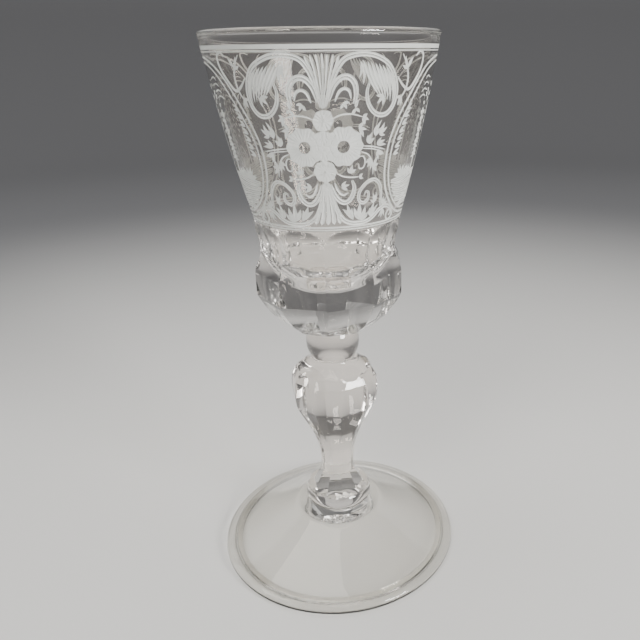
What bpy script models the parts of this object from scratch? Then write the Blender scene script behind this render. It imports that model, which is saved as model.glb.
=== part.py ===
"""Engraved and cut wine goblet with a baluster stem and a folded foot.

The goblet is made hot from separate gathers of glass that are fused one on another:
a conical foot with its edge folded under, a flared collar, a solid baluster, a small
knop and a thick-based bowl.  The bowl, the baluster and the collar are then cut on
wheels into ten panels.  Units are metres, +Z is up, and the origin is the centre of
the circle on which the foot rests.
"""
import math

import bpy

MM = 0.001

# ---- driving sizes ------------------------------------------------------------
FUSE_GAP = 0.3 * MM            # gap kept between two gathers that are fused in the real glass
PANELS = 10                    # cut panels round the bowl, the baluster and the collar
BOWL_PANEL_TURN = 14.5         # degrees from +X to the first arris of the bowl
STEM_PANEL_TURN = 27.0         # degrees from +X to the first arris of the stem

FOOT_RADIUS = 41.0 * MM
FOOT_HEIGHT = 17.4 * MM        # from the table to the seat of the collar
FOOT_EDGE = 3.0 * MM           # thickness of the edge where it is folded double
FOOT_WALL = 2.3 * MM           # single thickness inside the fold
FOLD_WIDTH = 6.1 * MM          # how far the edge is folded under
FOOT_CURVE = 1.12              # 1 is a straight cone, more is hollower
PONTIL_RADIUS = 7.0 * MM       # scar under the middle of the foot
PONTIL_DEPTH = 0.7 * MM
FOOT_CENTRE_WALL = 4.2 * MM    # glass left under the seat

COLLAR_HEIGHT = 10.3 * MM
COLLAR_CONE_RADIUS = 8.2 * MM  # from the axis to a flat, where the cut panels end
COLLAR_LIP_RADIUS = 11.4 * MM
COLLAR_LIP_HEIGHT = 5.0 * MM   # smooth flare under the cut panels
COLLAR_LIP_EDGE = 1.2 * MM     # upright edge at the foot of the flare

BALUSTER_HEIGHT = 43.9 * MM
STEM_WAIST_RADIUS = 5.4 * MM   # from the axis to a flat, at the crease of baluster and collar
BALUSTER_BELLY_RADIUS = 14.2 * MM
BALUSTER_NECK_RADIUS = 7.3 * MM
BALUSTER_SHOULDER = 11.7 * MM  # height from the belly to the neck
BALUSTER_SKEW = 1.5            # more keeps the lower stem slim for longer

KNOP_HEIGHT = 9.2 * MM
KNOP_SWELL = 1.3 * MM          # how far the knop stands out beyond the neck
KNOP_BELLY_DROP = 4.4 * MM     # from the top of the knop to its widest ring

BOWL_HEIGHT = 86.5 * MM
BOWL_RIM_RADIUS = 32.7 * MM
BOWL_RIM_WALL = 1.9 * MM
BOWL_SWELL = 0.7 * MM          # how far the engraved cone stands outside a straight one
BORDER_RADIUS = 21.8 * MM      # at the lower engraved border
BORDER_RISE = 36.4 * MM        # from the seat to the lower border
BOWL_WALL_LOW = 2.4 * MM       # wall at the lower border
FLUTE_RADIUS = 19.8 * MM       # from the axis to a flat at the waist
FLUTE_RISE = 27.3 * MM         # from the seat to the waist
BULB_RADIUS = 21.9 * MM        # from the axis to an upright panel
BULB_TOP_RISE = 20.5 * MM      # from the seat to the top of the upright panels
BULB_LOW_RISE = 13.5 * MM      # from the seat to their lower edge
FACET_ROWS = ((0.24, 0.11), (0.55, 0.31), (0.85, 0.61))  # share of the height, of the radius lost
BOWL_FLOOR = 14.5 * MM         # solid glass from the seat to the inside floor
WAIST_WALL = 2.3 * MM          # glass between the flutes and the inside

ROUND_STEPS = 60               # segments of a turned piece
CURVE_STEPS = 14               # points along a curved outline
CONE_STEPS = 4                 # points along the wall of the bowl
LIP_STEPS = 6                  # points round a small rounded edge
BLANK_MARGIN = 1.6 * MM        # a cutting form stands this far outside what it leaves uncut

# ---- heights, foot to rim ------------------------------------------------------
COLLAR_BASE_Z = FOOT_HEIGHT + FUSE_GAP
BALUSTER_BASE_Z = COLLAR_BASE_Z + COLLAR_HEIGHT + FUSE_GAP
KNOP_BASE_Z = BALUSTER_BASE_Z + BALUSTER_HEIGHT + FUSE_GAP
BOWL_BASE_Z = KNOP_BASE_Z + KNOP_HEIGHT + FUSE_GAP
RIM_Z = BOWL_BASE_Z + BOWL_HEIGHT
BORDER_Z = BOWL_BASE_Z + BORDER_RISE
BULB_TOP_Z = BOWL_BASE_Z + BULB_TOP_RISE
BULB_LOW_Z = BOWL_BASE_Z + BULB_LOW_RISE
WAIST_Z = BOWL_BASE_Z + FLUTE_RISE

# A flat panel is nearer the axis than its arrises are.
ARRIS = 1.0 / math.cos(math.pi / PANELS)

# The knop is part of an ellipsoid that starts at the neck, and the bowl covers its top.
KNOP_RADIUS = BALUSTER_NECK_RADIUS + KNOP_SWELL
KNOP_CURVE = (KNOP_HEIGHT - KNOP_BELLY_DROP) / math.sqrt(1 - (BALUSTER_NECK_RADIUS / KNOP_RADIUS) ** 2)
KNOP_TOP_RADIUS = KNOP_RADIUS * math.sqrt(1 - (KNOP_BELLY_DROP / KNOP_CURVE) ** 2)
BOWL_SEAT_RADIUS = KNOP_TOP_RADIUS + FUSE_GAP


def clear_scene():
    for item in list(bpy.data.objects):
        bpy.data.objects.remove(item, do_unlink=True)


def new_collection(name):
    group = bpy.data.collections.new(name)
    bpy.context.scene.collection.children.link(group)
    return group


def glass(name, colour, roughness):
    """Clear glass, tinted as the thickness of the piece makes it look."""
    material = bpy.data.materials.new(name)
    material.use_nodes = True
    shader = material.node_tree.nodes["Principled BSDF"]
    shader.inputs["Base Color"].default_value = (*colour, 1.0)
    shader.inputs["Roughness"].default_value = roughness
    shader.inputs["Metallic"].default_value = 0.0
    shader.inputs["IOR"].default_value = 1.51
    shader.inputs["Transmission Weight"].default_value = 1.0
    return material


def turned(name, outline, steps, group, turn=0.0):
    """Turn an outline of (radius, height) points about the Z axis."""
    mesh = bpy.data.meshes.new(name)
    points = [(radius, 0.0, height) for radius, height in outline]
    edges = [(i, i + 1) for i in range(len(points) - 1)]
    mesh.from_pydata(points, edges, [])
    piece = bpy.data.objects.new(name, mesh)
    group.objects.link(piece)
    piece.rotation_euler[2] = math.radians(turn)
    screw = piece.modifiers.new("turn", "SCREW")
    screw.axis = "Z"
    screw.angle = math.tau
    screw.steps = steps
    screw.render_steps = steps
    screw.use_merge_vertices = True
    screw.merge_threshold = 0.00001
    screw.use_smooth_shade = steps > PANELS
    return piece


def cut_to(piece, form):
    """Keep only what lies inside the form, as a cutting wheel would leave it."""
    form.hide_render = True
    form.display_type = "WIRE"
    cut = piece.modifiers.new("cut_" + form.name, "BOOLEAN")
    cut.operation = "INTERSECT"
    cut.solver = "EXACT"
    cut.object = form


def mix(first, last, share):
    return first + (last - first) * share


def arc(centre_r, centre_z, radius_r, radius_z, start, end, steps):
    """Points on an elliptical arc, angles in degrees from +r towards +z."""
    points = []
    for i in range(steps + 1):
        angle = math.radians(mix(start, end, i / steps))
        points.append((centre_r + radius_r * math.cos(angle), centre_z + radius_z * math.sin(angle)))
    return points


# ---- foot ----------------------------------------------------------------------
def foot_outline():
    """Top surface from the seat out to the edge, the fold, and the hollow underneath."""
    half_edge = FOOT_EDGE / 2
    edge_r = FOOT_RADIUS - half_edge

    def top_height(radius):
        share = (edge_r - radius) / (edge_r - COLLAR_LIP_RADIUS)
        return FOOT_EDGE + (FOOT_HEIGHT - FOOT_EDGE) * share ** FOOT_CURVE

    outline = [(0.0, FOOT_HEIGHT)]
    for i in range(CURVE_STEPS):
        radius = mix(COLLAR_LIP_RADIUS, edge_r, i / CURVE_STEPS)
        outline.append((radius, top_height(radius)))
    outline += arc(edge_r, half_edge, half_edge, half_edge, 90, -90, LIP_STEPS)
    fold_r = FOOT_RADIUS - FOLD_WIDTH
    fold_round = (top_height(fold_r) - FOOT_WALL) / 2
    outline += arc(fold_r + fold_round, fold_round, fold_round, fold_round, -90, -180, LIP_STEPS // 2)
    centre_z = FOOT_HEIGHT - FOOT_CENTRE_WALL
    for i in range(CURVE_STEPS):
        radius = mix(fold_r, PONTIL_RADIUS, i / (CURVE_STEPS - 1))
        outline.append((radius, min(top_height(max(radius, COLLAR_LIP_RADIUS)) - FOOT_WALL, centre_z)))
    outline.append((PONTIL_RADIUS / 2, centre_z + PONTIL_DEPTH))
    outline.append((0.0, centre_z + PONTIL_DEPTH))
    return outline


def make_foot(parts):
    foot = turned("foot", foot_outline(), ROUND_STEPS, parts)
    foot.data.materials.append(glass("foot_glass", (0.93, 0.92, 0.89), 0.03))


# ---- collar --------------------------------------------------------------------
def make_collar(parts, forms):
    """A cut cone that ends in a smooth flare on the foot."""
    base_z = COLLAR_BASE_Z
    top_z = base_z + COLLAR_HEIGHT
    flare_z = base_z + COLLAR_LIP_HEIGHT
    edge_z = base_z + COLLAR_LIP_EDGE
    cone_r = COLLAR_CONE_RADIUS * ARRIS
    flare = arc(cone_r, edge_z, COLLAR_LIP_RADIUS - cone_r, flare_z - edge_z, 90, 0, LIP_STEPS)
    blank = [(0.0, top_z), (STEM_WAIST_RADIUS * ARRIS, top_z)] + flare
    blank += [(COLLAR_LIP_RADIUS - COLLAR_LIP_EDGE / 2, base_z), (0.0, base_z)]
    collar = turned("foot_collar", blank, ROUND_STEPS, parts)
    clear_r = COLLAR_LIP_RADIUS * ARRIS + BLANK_MARGIN
    panels = [(0.0, top_z + BLANK_MARGIN),
              (STEM_WAIST_RADIUS * ARRIS, top_z + BLANK_MARGIN),
              (STEM_WAIST_RADIUS * ARRIS, top_z),
              (cone_r, flare_z),
              (clear_r, flare_z),
              (clear_r, base_z - BLANK_MARGIN),
              (0.0, base_z - BLANK_MARGIN)]
    cut_to(collar, turned("collar_panels", panels, PANELS, forms, STEM_PANEL_TURN))
    collar.data.materials.append(glass("collar_glass", (0.93, 0.90, 0.85), 0.02))


# ---- baluster ------------------------------------------------------------------
def baluster_outline():
    """Slim waist below, full belly, and a round shoulder cut off at the neck."""
    top_z = BALUSTER_BASE_Z + BALUSTER_HEIGHT
    belly_z = top_z - BALUSTER_SHOULDER
    shoulder_rise = BALUSTER_SHOULDER / math.sqrt(1 - (BALUSTER_NECK_RADIUS / BALUSTER_BELLY_RADIUS) ** 2)
    neck_angle = math.degrees(math.acos(BALUSTER_NECK_RADIUS / BALUSTER_BELLY_RADIUS))
    outline = [(0.0, top_z)]
    outline += arc(0.0, belly_z, BALUSTER_BELLY_RADIUS, shoulder_rise, neck_angle, 0, CURVE_STEPS // 2)
    for i in range(1, CURVE_STEPS + 1):
        share = 1 - i / CURVE_STEPS
        eased = share ** BALUSTER_SKEW
        swell = eased * eased * (3 - 2 * eased)
        outline.append((mix(STEM_WAIST_RADIUS, BALUSTER_BELLY_RADIUS, swell),
                        mix(BALUSTER_BASE_Z, belly_z, share)))
    outline.append((0.0, BALUSTER_BASE_Z))
    return outline


def make_baluster(parts):
    outline = [(radius * ARRIS, height) for radius, height in baluster_outline()]
    baluster = turned("baluster", outline, PANELS, parts, STEM_PANEL_TURN)
    baluster.data.materials.append(glass("baluster_glass", (0.93, 0.90, 0.86), 0.02))


# ---- knop ----------------------------------------------------------------------
def make_knop(parts):
    """A flattened ball, cut off where it meets the baluster and the bowl."""
    top_z = KNOP_BASE_Z + KNOP_HEIGHT
    top_angle = math.degrees(math.asin(KNOP_BELLY_DROP / KNOP_CURVE))
    low_angle = -math.degrees(math.acos(BALUSTER_NECK_RADIUS / KNOP_RADIUS))
    outline = [(0.0, top_z)]
    outline += arc(0.0, top_z - KNOP_BELLY_DROP, KNOP_RADIUS, KNOP_CURVE, top_angle, low_angle,
                   CURVE_STEPS // 2)
    outline.append((0.0, KNOP_BASE_Z))
    knop = turned("upper_knop", outline, ROUND_STEPS, parts)
    knop.data.materials.append(glass("knop_glass", (0.93, 0.91, 0.87), 0.02))


# ---- bowl ----------------------------------------------------------------------
def cone_radius(height):
    """Outside radius of the slightly swelling engraved cone at a height."""
    share = (height - BORDER_Z) / (RIM_Z - BORDER_Z)
    return mix(BORDER_RADIUS, BOWL_RIM_RADIUS, share) + 4 * BOWL_SWELL * share * (1 - share)


def cavity_outline():
    """Inside floor, rounded up to the waist, and the wall from there to the lip."""
    floor_z = BOWL_BASE_Z + BOWL_FLOOR
    outline = arc(0.0, WAIST_Z, FLUTE_RADIUS - WAIST_WALL, WAIST_Z - floor_z, -90, 0, CURVE_STEPS // 2)
    outline[0] = (0.0, floor_z)
    for i in range(CONE_STEPS):
        share = i / CONE_STEPS
        height = mix(BORDER_Z, RIM_Z - BOWL_RIM_WALL, share)
        outline.append((cone_radius(height) - mix(BOWL_WALL_LOW, BOWL_RIM_WALL, share), height))
    return outline


def facet_rows():
    """Outline across the flats of the facet rows, from the upright panels to the seat."""
    rows = [(BULB_RADIUS, BULB_LOW_Z)]
    for height_share, radius_share in FACET_ROWS:
        rows.append((mix(BULB_RADIUS, BOWL_SEAT_RADIUS, radius_share),
                     mix(BULB_LOW_Z, BOWL_BASE_Z, height_share)))
    return rows


def bowl_outline():
    """The blown blank, before the waist and the bulb are cut."""
    lip = BOWL_RIM_WALL / 2
    outline = cavity_outline()
    outline += arc(BOWL_RIM_RADIUS - lip, RIM_Z - lip, lip, lip, 180, 0, LIP_STEPS)
    for i in range(1, CONE_STEPS + 1):
        height = mix(RIM_Z - lip, BORDER_Z, i / CONE_STEPS)
        outline.append((cone_radius(height), height))
    outline.append((max(BORDER_RADIUS, FLUTE_RADIUS * ARRIS) + FUSE_GAP, WAIST_Z))
    outline.append((BULB_RADIUS * ARRIS, BULB_TOP_Z))
    for radius, height in facet_rows():
        outline.append((radius * ARRIS, height))
    outline.append((BOWL_SEAT_RADIUS, BOWL_BASE_Z))
    outline.append((0.0, BOWL_BASE_Z))
    return outline


def panel_outline():
    """Hollow flutes in the waist, upright panels on the bulb, and the facet rows under it."""
    clear_r = BOWL_RIM_RADIUS * ARRIS + BLANK_MARGIN
    flats = []
    half = CURVE_STEPS // 2
    for i in range(half):
        share = 1 - i / half
        flats.append((mix(FLUTE_RADIUS, BORDER_RADIUS, share ** 2), mix(WAIST_Z, BORDER_Z, share)))
    for i in range(half):
        share = i / half
        flats.append((mix(FLUTE_RADIUS, BULB_RADIUS, math.sin(share * math.pi / 2) ** 2),
                      mix(WAIST_Z, BULB_TOP_Z, share)))
    flats.append((BULB_RADIUS, BULB_TOP_Z))
    flats += facet_rows()
    flats.append((BOWL_SEAT_RADIUS, BOWL_BASE_Z))
    flats.append((BOWL_SEAT_RADIUS, BOWL_BASE_Z - BLANK_MARGIN))
    outline = [(0.0, RIM_Z + BLANK_MARGIN), (clear_r, RIM_Z + BLANK_MARGIN), (clear_r, BORDER_Z)]
    outline += [(radius * ARRIS, height) for radius, height in flats]
    outline.append((0.0, BOWL_BASE_Z - BLANK_MARGIN))
    return outline


def make_bowl(parts, forms):
    bowl = turned("bowl", bowl_outline(), ROUND_STEPS, parts)
    cut_to(bowl, turned("bowl_panels", panel_outline(), PANELS, forms, BOWL_PANEL_TURN))
    bowl.data.materials.append(glass("bowl_glass", (0.95, 0.95, 0.93), 0.02))


clear_scene()
goblet = new_collection("wine_glass")
cutters = new_collection("cutting_forms")
make_foot(goblet)
make_collar(goblet, cutters)
make_baluster(goblet)
make_knop(goblet)
make_bowl(goblet, cutters)
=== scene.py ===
import math
import random

import bmesh
import bpy
import numpy as np
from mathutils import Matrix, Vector
from mathutils.geometry import delaunay_2d_cdt


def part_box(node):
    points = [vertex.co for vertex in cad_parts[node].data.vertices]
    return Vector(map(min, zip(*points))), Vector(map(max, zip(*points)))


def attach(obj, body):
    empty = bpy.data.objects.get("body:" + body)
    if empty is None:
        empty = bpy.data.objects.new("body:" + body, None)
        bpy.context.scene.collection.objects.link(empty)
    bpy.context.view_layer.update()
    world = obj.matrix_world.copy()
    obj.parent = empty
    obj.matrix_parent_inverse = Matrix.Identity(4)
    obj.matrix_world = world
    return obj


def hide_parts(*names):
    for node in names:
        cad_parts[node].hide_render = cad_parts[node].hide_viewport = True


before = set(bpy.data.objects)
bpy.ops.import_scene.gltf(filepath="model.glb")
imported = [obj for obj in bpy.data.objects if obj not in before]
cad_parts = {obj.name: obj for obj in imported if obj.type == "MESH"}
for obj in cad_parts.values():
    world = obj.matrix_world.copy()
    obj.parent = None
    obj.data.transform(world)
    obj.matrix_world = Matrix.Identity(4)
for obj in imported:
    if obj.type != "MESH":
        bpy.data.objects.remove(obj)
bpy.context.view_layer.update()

# ---- Foot ------------------------------------------------------------------------
# A gather of clear glass, opened out and spun into a cone with its edge folded under,
# so that the rim is double and does not chip.  It stands on the fold; the rough scar
# in the hollow underneath is where the pontil rod was cracked off.
MM = 0.001
ROUND = 180                     # columns round a turned piece
FOOT_EDGE_THICK = 3.0 * MM
FOOT_WALL = 2.3 * MM
FOLD_WIDTH = 6.1 * MM
FOLD_CREVICE = 1.6 * MM         # how far the fold stays open at its inner edge
FOOT_HOLLOWING = 1.12
TREAD_ARCH = 0.45 * MM          # the fold is not flat underneath, so it stands on its two edges
FOOT_COLUMNS = 360
PONTIL_RADIUS = 7.0 * MM
PONTIL_DEPTH = 0.7 * MM
CENTRE_WALL = 4.2 * MM          # glass left under the seat
SEAT_RADIUS = 10.9 * MM         # fused to the collar
FOLD_ROUND = 0.42               # how full the inner edge of the fold is, as a share of its room
RING_RADIUS = 15.2 * MM         # faint raised ring left where the tool rested
RING_WIDTH = 0.9 * MM
STREAK_TURN = math.radians(-70)  # where the furrow of the shears runs down the slope
STREAK_MIDDLE = 23.5 * MM
STREAK_REACH = 7.5 * MM
SEAM_GAP = 0.01 * MM            # half the hair's breadth left between fused pieces


def mix(first, last, share):
    return first + (last - first) * share


def arc(centre_r, centre_z, radius_r, radius_z, start, end, steps):
    """Points on an elliptical arc, angles in degrees from outwards to upwards."""
    points = []
    for i in range(steps + 1):
        angle = math.radians(mix(start, end, i / steps))
        points.append((centre_r + radius_r * math.cos(angle), centre_z + radius_z * math.sin(angle)))
    return points


def curve_through(points, per_span):
    """Smooth curve through a few points of any dimension."""
    ends = [2 * np.array(points[0]) - np.array(points[1])]
    ends += [np.array(p, float) for p in points]
    ends.append(2 * np.array(points[-1]) - np.array(points[-2]))
    out = []
    for a, b, c, d in zip(ends, ends[1:], ends[2:], ends[3:]):
        for i in range(per_span):
            t = i / per_span
            out.append(0.5 * (2 * b + (c - a) * t + (2 * a - 5 * b + 4 * c - d) * t * t
                              + (3 * b - a - 3 * c + d) * t ** 3))
    out.append(ends[-2])
    return out


def turned_mesh(rings, columns, radius_at=None, turn_at=None):
    """Mesh from rings of (radius, height); radius 0 is a pole and None leaves a gap."""
    form = bmesh.new()
    rows = []
    for ring in rings:
        if ring is None:
            rows.append(None)
            continue
        radius, height = ring
        if radius < 1e-7:
            rows.append([form.verts.new((0.0, 0.0, height))])
            continue
        row = []
        turn = turn_at(radius, height) if turn_at else 0.0
        for i in range(columns):
            angle = math.tau * i / columns + turn
            r = radius_at(radius, height, angle) if radius_at else radius
            row.append(form.verts.new((r * math.cos(angle), r * math.sin(angle), height)))
        rows.append(row)
    for upper, lower in zip(rows, rows[1:]):
        if upper is None or lower is None:
            continue
        for i in range(columns):
            j = (i + 1) % columns
            if len(upper) == 1:
                form.faces.new((upper[0], lower[i], lower[j]))
            elif len(lower) == 1:
                form.faces.new((upper[i], lower[0], upper[j]))
            else:
                form.faces.new((upper[i], lower[i], lower[j], upper[j]))
    return form


def glass_piece(name, form, materials, node, sharp=30.0):
    """Turn a finished form into a piece that stands for its CAD node."""
    bmesh.ops.recalc_face_normals(form, faces=form.faces)
    mesh = bpy.data.meshes.new(name)
    form.to_mesh(mesh)
    form.free()
    for material in materials:
        mesh.materials.append(material)
    mesh.shade_smooth()
    mesh.set_sharp_from_angle(angle=math.radians(sharp))
    piece = bpy.data.objects.new(name, mesh)
    bpy.context.scene.collection.objects.link(piece)
    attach(piece, "root")
    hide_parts(node)
    return piece


def mark_seams(form, heights, radius, slot):
    """Faces that lie flat on a neighbour, inside the fused circle, get the seam material."""
    for face in form.faces:
        level = [v.co.z for v in face.verts]
        reach = max(math.hypot(v.co.x, v.co.y) for v in face.verts)
        is_level = max(level) - min(level) < 1e-7
        for height in heights:
            if is_level and abs(level[0] - height) < 1e-6 and reach <= radius + 1e-6:
                face.material_index = slot


def surface_group(name, outputs, inputs):
    """An empty shader group with named sockets, its input node and its output node."""
    group = bpy.data.node_groups.new(name, "ShaderNodeTree")
    for label, kind in outputs:
        group.interface.new_socket(name=label, in_out="OUTPUT", socket_type=kind)
    for label, kind, value in inputs:
        socket = group.interface.new_socket(name=label, in_out="INPUT", socket_type=kind)
        socket.default_value = value
    return group, group.nodes.new("NodeGroupInput"), group.nodes.new("NodeGroupOutput")


def add_node(nodes, kind, values):
    """A new shader node with these values on its input sockets."""
    node = nodes.new(kind)
    for socket, value in values.items():
        node.inputs[socket].default_value = value
    return node


def wire(source, output, target, socket):
    """Join one node's output to another node's input."""
    source.id_data.links.new(source.outputs[output], target.inputs[socket])


# Hand-made glass is never quite even: the surface ripples slowly where it cooled, fine
# cords run through it, and two centuries of use leave faint rubbing and scratches.
def make_old_glass_group():
    group, given, out = surface_group(
        "old_glass",
        [("Color", "NodeSocketColor"), ("Roughness", "NodeSocketFloat"), ("Height", "NodeSocketFloat")],
        [("Ripple Scale", "NodeSocketFloat", 60.0), ("Stretch", "NodeSocketVector", (1.0, 1.0, 0.35)),
         ("Clean Roughness", "NodeSocketFloat", 0.0), ("Rubbed Roughness", "NodeSocketFloat", 0.09),
         ("Rubbing", "NodeSocketFloat", 0.35), ("Tint", "NodeSocketColor", (0.98, 0.98, 0.97, 1.0)),
         ("Cord Tint", "NodeSocketColor", (0.96, 0.95, 0.92, 1.0))])
    nodes = group.nodes
    place = nodes.new("ShaderNodeTexCoord")
    stretch = nodes.new("ShaderNodeVectorMath")
    stretch.operation = "MULTIPLY"
    wire(place, "Object", stretch, 0)
    wire(given, "Stretch", stretch, 1)
    ripple = add_node(nodes, "ShaderNodeTexNoise", {"Detail": 1.5})
    wire(stretch, 0, ripple, "Vector")
    wire(given, "Ripple Scale", ripple, "Scale")
    wire(ripple, "Fac", out, "Height")
    cords = add_node(nodes, "ShaderNodeTexNoise", {"Scale": 38.0, "Detail": 3.0, "Distortion": 1.2})
    wire(stretch, 0, cords, "Vector")
    tinted = nodes.new("ShaderNodeMix")
    tinted.data_type = "RGBA"
    wire(cords, "Fac", tinted, 0)
    wire(given, "Tint", tinted, 6)
    wire(given, "Cord Tint", tinted, 7)
    wire(tinted, 2, out, "Color")
    scuffs = add_node(nodes, "ShaderNodeTexNoise", {"Scale": 420.0, "Detail": 4.0})
    wire(place, "Object", scuffs, "Vector")
    worn = nodes.new("ShaderNodeMapRange")
    worn.interpolation_type = "SMOOTHSTEP"
    worn.inputs["From Min"].default_value = 0.56
    worn.inputs["From Max"].default_value = 0.74
    wire(scuffs, "Fac", worn, "Value")
    share = nodes.new("ShaderNodeMath")
    share.operation = "MULTIPLY"
    wire(worn, "Result", share, 0)
    wire(given, "Rubbing", share, 1)
    rough = nodes.new("ShaderNodeMix")
    wire(share, 0, rough, 0)
    wire(given, "Clean Roughness", rough, 2)
    wire(given, "Rubbed Roughness", rough, 3)
    wire(rough, 0, out, "Roughness")
    return group


old_glass = make_old_glass_group()


def clear_glass(name, tint, cord_tint, ripple_scale, ripple_depth, rubbing, lamp_light=None):
    """Clear glass, faintly tinted, with its ripples and rubbing; lamp_light is what one
    surface lets lamps send through to what lies under it."""
    material = bpy.data.materials.new(name)
    material.use_nodes = True
    nodes = material.node_tree.nodes
    shader = nodes["Principled BSDF"]
    shader.inputs["IOR"].default_value = 1.51
    shader.inputs["Transmission Weight"].default_value = 1.0
    shader.inputs["Specular IOR Level"].default_value = 0.5
    surface = nodes.new("ShaderNodeGroup")
    surface.node_tree = old_glass
    surface.inputs["Ripple Scale"].default_value = ripple_scale
    surface.inputs["Rubbing"].default_value = rubbing
    surface.inputs["Tint"].default_value = (*tint, 1.0)
    surface.inputs["Cord Tint"].default_value = (*cord_tint, 1.0)
    wire(surface, "Color", shader, "Base Color")
    wire(surface, "Roughness", shader, "Roughness")
    bump = add_node(nodes, "ShaderNodeBump", {"Strength": 0.5, "Distance": ripple_depth})
    wire(surface, "Height", bump, "Height")
    wire(bump, "Normal", shader, "Normal")
    if lamp_light is None:
        return material
    path = nodes.new("ShaderNodeLightPath")
    passing = add_node(nodes, "ShaderNodeBsdfTransparent", {
        "Color": (lamp_light, lamp_light, lamp_light * 0.985, 1.0)})
    blend = nodes.new("ShaderNodeMixShader")
    wire(path, "Is Shadow Ray", blend, 0)
    wire(shader, "BSDF", blend, 1)
    wire(passing, "BSDF", blend, 2)
    wire(blend, "Shader", nodes["Material Output"], "Surface")
    return material


def fused_seam():
    """Where two gathers are fused there is no surface: light passes straight on."""
    material = bpy.data.materials.new("fused_seam")
    material.use_nodes = True
    nodes = material.node_tree.nodes
    nodes.remove(nodes["Principled BSDF"])
    through = nodes.new("ShaderNodeBsdfTransparent")
    wire(through, "BSDF", nodes["Material Output"], "Surface")
    return material


seam = fused_seam()
foot_glass = clear_glass("foot_glass", tint=(0.978, 0.968, 0.944), cord_tint=(0.948, 0.932, 0.89),
                         ripple_scale=55.0, ripple_depth=0.25 * MM, rubbing=0.5, lamp_light=0.5)


def make_foot():
    low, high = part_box("foot")
    seam_z = (high.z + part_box("foot_collar")[0].z) / 2 - SEAM_GAP
    edge_r = high.x - FOOT_EDGE_THICK / 2

    def top_height(radius):
        share = max(edge_r - radius, 0.0) / (edge_r - SEAT_RADIUS)
        return FOOT_EDGE_THICK + (high.z - FOOT_EDGE_THICK) * share ** FOOT_HOLLOWING

    rings = [(0.0, seam_z), (SEAT_RADIUS, seam_z)]
    rings += [(SEAT_RADIUS + 0.25 * MM, high.z - 0.05 * MM)]
    for i in range(1, 40):
        radius = mix(SEAT_RADIUS + 0.5 * MM, edge_r, i / 40)
        rings.append((radius, top_height(radius)))
    half = FOOT_EDGE_THICK / 2
    rings += arc(edge_r, half, half, half, 90, -90, 16)
    fold_r = high.x - FOLD_WIDTH
    lip = (top_height(fold_r) - FOOT_WALL) * FOLD_ROUND
    tread_in = fold_r + lip
    rings += [(mix(edge_r, tread_in, i / 10), TREAD_ARCH * math.sin(math.pi * i / 10))
              for i in range(1, 10)]
    rings += arc(tread_in, lip, lip, lip, -90, -270, 14)
    crevice_r = tread_in + FOLD_CREVICE
    crevice_z = top_height(crevice_r) - FOOT_WALL
    rings.append((crevice_r, crevice_z - 0.1 * MM))
    rings.append((crevice_r + 0.1 * MM, crevice_z))
    centre_z = high.z - CENTRE_WALL
    for i in range(40):
        radius = mix(crevice_r, PONTIL_RADIUS, i / 39)
        rings.append((radius, min(top_height(max(radius, SEAT_RADIUS)) - FOOT_WALL, centre_z)))
    rings += [(PONTIL_RADIUS * share, centre_z + PONTIL_DEPTH * (1 - share ** 2))
              for share in (0.85, 0.7, 0.55, 0.4, 0.25, 0.1)]
    rings.append((0.0, centre_z + PONTIL_DEPTH))
    form = turned_mesh(rings, FOOT_COLUMNS)
    mark_seams(form, [seam_z], SEAT_RADIUS, 1)
    for vert in form.verts:
        radius = math.hypot(vert.co.x, vert.co.y)
        angle = math.atan2(vert.co.y, vert.co.x)
        if radius < SEAT_RADIUS + 0.4 * MM or radius > edge_r:
            continue
        inward = min((radius - SEAT_RADIUS) / (4 * MM), 1.0) * min((edge_r - radius) / (5 * MM), 1.0)
        wave = 0.05 * math.sin(2 * angle + 0.6) + 0.03 * math.sin(5 * angle + 9 * radius / high.x)
        on_top = vert.co.z > top_height(radius) - 0.3 * MM
        if on_top:
            ring = 0.09 * math.exp(-((radius - RING_RADIUS) / RING_WIDTH) ** 2)
            off = (angle - STREAK_TURN) * radius / MM
            along = max(0.0, 1 - ((radius - STREAK_MIDDLE) / STREAK_REACH) ** 2)
            streak = 0.22 * math.exp(-(off / 0.55) ** 2) * along
            vert.co.z += (wave + ring * inward - streak) * inward * MM
        elif vert.co.z > 2.0 * MM:
            vert.co.z += wave * inward * MM * 0.6
    glass_piece("foot_glass_folded", form, [foot_glass, seam], "foot")


make_foot()

# ---- Collar ----------------------------------------------------------------------
# The lowest gather of the stem.  Its upper part was ground into ten flat panels that
# narrow to the crease under the baluster; below them it flares smoothly on to the foot.
PANELS = 10
STEM_TURN = math.radians(27.0)  # where the first arris of the stem points
ARRIS = 1 / math.cos(math.pi / PANELS)
STEM_WAIST = 5.4 * MM
COLLAR_CONE = 8.2 * MM
COLLAR_LIP = 11.4 * MM
COLLAR_FLARE = 5.0 * MM
COLLAR_EDGE = 1.2 * MM
COLLAR_RUN_OUT = 2.2            # how fast the ground flats leave the round flare

stem_glass = clear_glass("stem_glass", tint=(0.975, 0.932, 0.89), cord_tint=(0.945, 0.875, 0.81),
                         ripple_scale=70.0, ripple_depth=0.12 * MM, rubbing=0.25, lamp_light=0.8)


def panel_angle(angle, turn):
    """Angle from the middle of the nearest panel."""
    width = math.tau / PANELS
    return (angle - turn) % width - width / 2


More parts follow.
